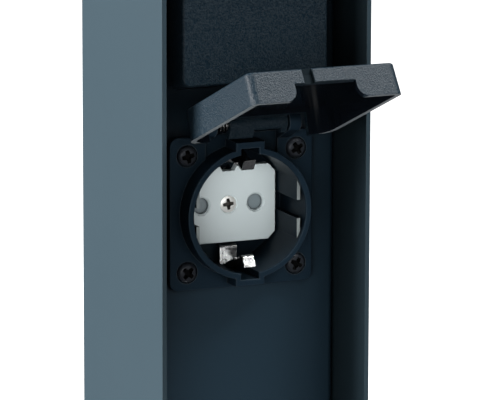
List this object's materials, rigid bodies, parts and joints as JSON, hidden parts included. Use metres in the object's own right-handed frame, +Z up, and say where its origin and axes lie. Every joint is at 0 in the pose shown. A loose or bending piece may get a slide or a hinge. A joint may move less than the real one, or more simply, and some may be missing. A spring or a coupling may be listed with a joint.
{
  "type": "outdoor socket post",
  "caption": "Outdoor socket post: rectangular powder-coated column with a recessed panel and earthed round-well sockets under hinged lids, one open and one shut.",
  "frame": {"origin": "centre of the foot's underside, on the ground, midway across the column's width and depth", "axes": "+Z up along the column, -Y out of the recess towards the user, +X to the user's right"},
  "size_m": [0.076, 0.1176, 0.3],
  "materials": {
    "powder_coat": "fine matt powder coat",
    "panel_coat": "fine matt powder coat",
    "lid_plastic": "fine texture outside, gloss inside",
    "socket_plastic": "satin moulded",
    "insert_plastic": "satin moulded",
    "shutter_plastic": "satin moulded",
    "black_screw": "black zinc",
    "bright_steel": "nickel plated",
    "zinc_steel": "zinc plated",
    "contact_brass": "plain",
    "rubber": "matt",
    "block_plastic": "plain",
    "brown_wire": "plain",
    "blue_wire": "plain",
    "green_wire": "plain"
  },
  "bodies": {
    "post": {"block_screws": "zinc_steel", "cap_screws": "black_screw", "column_profile": "powder_coat", "earth_lug": "zinc_steel", "earth_nut": "zinc_steel", "earth_stud": "zinc_steel", "earth_wires": "green_wire", "foot_screws": "black_screw", "inlet_grommet": "rubber", "live_wires": "brown_wire", "lower_contact_screws": "zinc_steel", "lower_contacts": "contact_brass", "lower_earth_strap": "bright_steel", "lower_flange_gasket": "rubber", "lower_flange_nuts": "zinc_steel", "lower_flange_screws": "black_screw", "lower_hinge_pin": "bright_steel", "lower_housing": "socket_plastic", "lower_insert": "insert_plastic", "lower_insert_screw": "bright_steel", "lower_lid_spring": "bright_steel", "lower_rear_body": "socket_plastic", "lower_shutter_spring": "bright_steel", "mounting_foot": "zinc_steel", "neutral_wires": "blue_wire", "panel_nuts": "zinc_steel", "panel_screws": "black_screw", "socket_panel": "panel_coat", "terminal_block": "block_plastic", "terminal_clamp_screws": "zinc_steel", "terminal_clamps": "contact_brass", "top_cap": "powder_coat", "upper_contact_screws": "zinc_steel", "upper_contacts": "contact_brass", "upper_earth_strap": "bright_steel", "upper_flange_gasket": "rubber", "upper_flange_nuts": "zinc_steel", "upper_flange_screws": "black_screw", "upper_hinge_pin": "bright_steel", "upper_housing": "socket_plastic", "upper_insert": "insert_plastic", "upper_insert_screw": "bright_steel", "upper_lid_spring": "bright_steel", "upper_rear_body": "socket_plastic", "upper_shutter_spring": "bright_steel"},
    "lower_lid": {"lower_lid": "lid_plastic"},
    "upper_lid": {"upper_lid": "lid_plastic"},
    "lower_shutter": {"lower_shutter": "shutter_plastic"},
    "upper_shutter": {"upper_shutter": "shutter_plastic"}
  },
  "joints": [
    {"name": "lower_lid_hinge", "type": "hinge", "parent": "post", "child": "lower_lid", "pos_m": [0, -0.0208, 0.1793], "axis": [-1, 0, 0], "range_deg": [-112, 0]},
    {"name": "upper_lid_hinge", "type": "hinge", "parent": "post", "child": "upper_lid", "pos_m": [0, -0.0208, 0.2533], "axis": [-1, 0, 0], "range_deg": [0, 112]},
    {"name": "lower_shutter_slide", "type": "slide", "parent": "post", "child": "lower_shutter", "axis": [0, 0, 1], "range_m": [0, 0.0056], "stiffness_N_per_m": 60, "springref_m": -0.002, "deforming": ["lower_shutter_spring"]},
    {"name": "upper_shutter_slide", "type": "slide", "parent": "post", "child": "upper_shutter", "axis": [0, 0, 1], "range_m": [0, 0.0056], "stiffness_N_per_m": 60, "springref_m": -0.002, "deforming": ["upper_shutter_spring"]}
  ]
}
